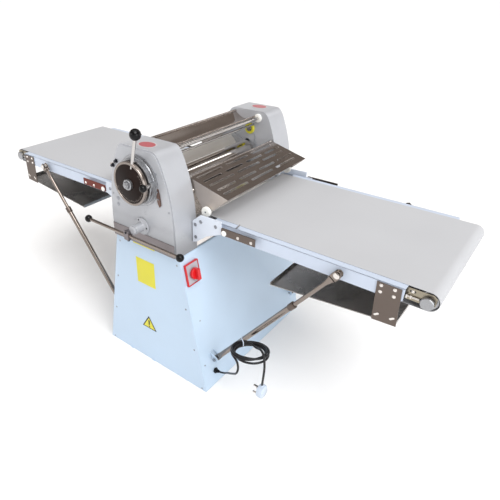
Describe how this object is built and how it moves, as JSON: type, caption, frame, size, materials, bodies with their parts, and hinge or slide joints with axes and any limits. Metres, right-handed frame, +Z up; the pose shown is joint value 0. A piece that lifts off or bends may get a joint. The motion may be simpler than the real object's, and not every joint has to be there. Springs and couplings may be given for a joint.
{
  "type": "dough sheeter",
  "caption": "Floor-standing reversible dough sheeter: cabinet, roller heads with a gap dial, slotted guards and folding conveyor tables on telescopic struts.",
  "frame": {"origin": "on the floor, on the flat underside of the base frame, straight under the middle of the rollers", "axes": "+X along the conveyors, +Y along the rollers away from the operator, +Z up"},
  "size_m": [2.012, 0.863, 1.0661],
  "materials": {
    "cabinet_paint": "satin pale blue-white powder coat",
    "head_paint": "satin silver-grey paint",
    "rail_paint": "satin white powder coat",
    "stainless": "brushed stainless",
    "polished_steel": "mirror polished stainless",
    "chrome": "hard chrome, ground and polished",
    "belt": "white coated conveyor fabric",
    "black_knob": "gloss black phenolic",
    "dial_brown": "dark brown enamel with a bright rim",
    "zinc": "machined aluminium",
    "red_plastic": "gloss red",
    "cord_rubber": "matt black",
    "white_plastic": "gloss white",
    "motor_paint": "grey enamel"
  },
  "bodies": {
    "root": {"base_frame": "motor_paint", "front_panel": "cabinet_paint", "rear_panel": "cabinet_paint", "right_panel": "cabinet_paint", "left_panel": "cabinet_paint", "top_plate": "cabinet_paint", "drive_motor": "motor_paint", "switch_plate": "red_plastic", "cable_gland": "black_knob", "near_head_housing": "head_paint", "near_head_cover": "head_paint", "far_head_housing": "head_paint", "far_head_cover": "head_paint", "upper_tie_rod": "chrome", "lower_tie_rod": "chrome", "flour_tray": "polished_steel", "right_bed_plate": "head_paint", "left_bed_plate": "head_paint", "index_ring": "zinc", "direction_bushing": "head_paint", "power_cord": "cord_rubber", "right_hinge_plate_near": "rail_paint", "right_hinge_plate_far": "rail_paint", "left_hinge_plate_near": "rail_paint", "left_hinge_plate_far": "rail_paint"},
    "carriage": {"roller_yoke": "polished_steel"},
    "upper_roller_body": {"upper_roller": "chrome"},
    "lower_roller_body": {"lower_roller": "chrome"},
    "dial": {"dial_wheel": "dial_brown", "adjust_lever": "chrome"},
    "index_knob_body": {"index_knob": "black_knob"},
    "direction_handle": {"direction_lever": "chrome"},
    "switch_knob_body": {"switch_knob": "red_plastic"},
    "right_guard_body": {"right_guard": "stainless"},
    "right_table": {"right_table_frame": "rail_paint", "right_conveyor_belt": "belt", "right_catch_tray": "stainless", "right_strap_near": "stainless", "right_strap_far": "stainless"},
    "right_drive_roller_body": {"right_drive_roller": "chrome"},
    "right_end_roller_body": {"right_end_roller": "chrome"},
    "right_near_tube_body": {"right_strut_near_tube": "stainless", "cord_coil": "cord_rubber", "cord_tail": "cord_rubber", "mains_plug": "white_plastic"},
    "right_near_rod_body": {"right_strut_near_rod": "chrome"},
    "right_far_tube_body": {"right_strut_far_tube": "stainless"},
    "right_far_rod_body": {"right_strut_far_rod": "chrome"},
    "left_guard_body": {"left_guard": "stainless"},
    "left_table": {"left_table_frame": "rail_paint", "left_conveyor_belt": "belt", "left_catch_tray": "stainless", "left_strap_near": "stainless", "left_strap_far": "stainless"},
    "left_drive_roller_body": {"left_drive_roller": "chrome"},
    "left_end_roller_body": {"left_end_roller": "chrome"},
    "left_near_tube_body": {"left_strut_near_tube": "stainless"},
    "left_near_rod_body": {"left_strut_near_rod": "chrome"},
    "left_far_tube_body": {"left_strut_far_tube": "stainless"},
    "left_far_rod_body": {"left_strut_far_rod": "chrome"}
  },
  "joints": [
    {"name": "dial_turn", "type": "hinge", "parent": "root", "child": "dial", "pos_m": [0.004, -0.4, 0.87], "axis": [0, -1, 0], "range_deg": [0, 140]},
    {"name": "carriage_slide", "type": "slide", "parent": "root", "child": "carriage", "axis": [0, 0, 1], "range_m": [0, 0.037]},
    {"name": "lower_roller_spin", "type": "hinge", "parent": "root", "child": "lower_roller_body", "pos_m": [0, 0, 0.722], "axis": [0, 1, 0], "continuous": true},
    {"name": "upper_roller_spin", "type": "hinge", "parent": "carriage", "child": "upper_roller_body", "pos_m": [0, 0, 0.811], "axis": [0, 1, 0], "continuous": true},
    {"name": "index_knob_pull", "type": "slide", "parent": "root", "child": "index_knob_body", "axis": [0, -1, 0], "range_m": [0, 0.008], "stiffness_N_per_m": 500},
    {"name": "direction_turn", "type": "hinge", "parent": "root", "child": "direction_handle", "pos_m": [0.004, -0.42, 0.693], "axis": [0, -1, 0], "range_deg": [-15, 15]},
    {"name": "switch_turn", "type": "hinge", "parent": "root", "child": "switch_knob_body", "pos_m": [0.18187, -0.332, 0.528], "axis": [0.9794, 0, 0.2021], "range_deg": [0, 90]},
    {"name": "right_guard_lift", "type": "hinge", "parent": "root", "child": "right_guard_body", "pos_m": [0.128, 0, 0.873], "axis": [0, -1, 0], "range_deg": [0, 95]},
    {"name": "right_table_fold", "type": "hinge", "parent": "root", "child": "right_table", "pos_m": [0.312, 0, 0.727], "axis": [0, -1, 0], "range_deg": [0, 75]},
    {"name": "right_drive_roller_spin", "type": "hinge", "parent": "right_table", "child": "right_drive_roller_body", "pos_m": [0.212, 0, 0.717], "axis": [0, 1, 0], "continuous": true},
    {"name": "right_end_roller_spin", "type": "hinge", "parent": "right_table", "child": "right_end_roller_body", "pos_m": [0.975, 0, 0.717], "axis": [0, 1, 0], "continuous": true},
    {"name": "right_near_strut_swing", "type": "hinge", "parent": "root", "child": "right_near_tube_body", "pos_m": [0.284, -0.302, 0.133], "axis": [0, -1, 0], "range_deg": [0, 29.1]},
    {"name": "right_near_strut_reach", "type": "slide", "parent": "right_near_tube_body", "child": "right_near_rod_body", "axis": [0.5981, 0, 0.8015], "range_m": [0, 0.2635]},
    {"name": "right_far_strut_swing", "type": "hinge", "parent": "root", "child": "right_far_tube_body", "pos_m": [0.284, 0.302, 0.133], "axis": [0, -1, 0], "range_deg": [0, 29.1]},
    {"name": "right_far_strut_reach", "type": "slide", "parent": "right_far_tube_body", "child": "right_far_rod_body", "axis": [0.5981, 0, 0.8015], "range_m": [0, 0.2635]},
    {"name": "left_guard_lift", "type": "hinge", "parent": "root", "child": "left_guard_body", "pos_m": [-0.128, 0, 0.873], "axis": [0, 1, 0], "range_deg": [0, 95]},
    {"name": "left_table_fold", "type": "hinge", "parent": "root", "child": "left_table", "pos_m": [-0.312, 0, 0.727], "axis": [0, 1, 0], "range_deg": [0, 75]},
    {"name": "left_drive_roller_spin", "type": "hinge", "parent": "left_table", "child": "left_drive_roller_body", "pos_m": [-0.212, 0, 0.717], "axis": [0, 1, 0], "continuous": true},
    {"name": "left_end_roller_spin", "type": "hinge", "parent": "left_table", "child": "left_end_roller_body", "pos_m": [-0.975, 0, 0.717], "axis": [0, 1, 0], "continuous": true},
    {"name": "left_near_strut_swing", "type": "hinge", "parent": "root", "child": "left_near_tube_body", "pos_m": [-0.284, -0.302, 0.133], "axis": [0, 1, 0], "range_deg": [0, 29.1]},
    {"name": "left_near_strut_reach", "type": "slide", "parent": "left_near_tube_body", "child": "left_near_rod_body", "axis": [-0.5981, 0, 0.8015], "range_m": [0, 0.2635]},
    {"name": "left_far_strut_swing", "type": "hinge", "parent": "root", "child": "left_far_tube_body", "pos_m": [-0.284, 0.302, 0.133], "axis": [0, 1, 0], "range_deg": [0, 29.1]},
    {"name": "left_far_strut_reach", "type": "slide", "parent": "left_far_tube_body", "child": "left_far_rod_body", "axis": [-0.5981, 0, 0.8015], "range_m": [0, 0.2635]}
  ],
  "couplings": [
    {"joint": "carriage_slide", "follows": "dial_turn", "m_per_rad": 0.01514},
    {"joint": "upper_roller_spin", "follows": "lower_roller_spin", "ratio": -1},
    {"joint": "right_drive_roller_spin", "follows": "lower_roller_spin", "ratio": 1.5331},
    {"joint": "right_end_roller_spin", "follows": "lower_roller_spin", "ratio": 1.5331},
    {"joint": "right_near_strut_swing", "follows": "right_table_fold", "ratio": 0.38706},
    {"joint": "right_near_strut_reach", "follows": "right_table_fold", "m_per_rad": 0.20073},
    {"joint": "right_far_strut_swing", "follows": "right_table_fold", "ratio": 0.38706},
    {"joint": "right_far_strut_reach", "follows": "right_table_fold", "m_per_rad": 0.20073},
    {"joint": "left_drive_roller_spin", "follows": "lower_roller_spin", "ratio": 1.5331},
    {"joint": "left_end_roller_spin", "follows": "lower_roller_spin", "ratio": 1.5331},
    {"joint": "left_near_strut_swing", "follows": "left_table_fold", "ratio": 0.38706},
    {"joint": "left_near_strut_reach", "follows": "left_table_fold", "m_per_rad": 0.20073},
    {"joint": "left_far_strut_swing", "follows": "left_table_fold", "ratio": 0.38706},
    {"joint": "left_far_strut_reach", "follows": "left_table_fold", "m_per_rad": 0.20073}
  ]
}
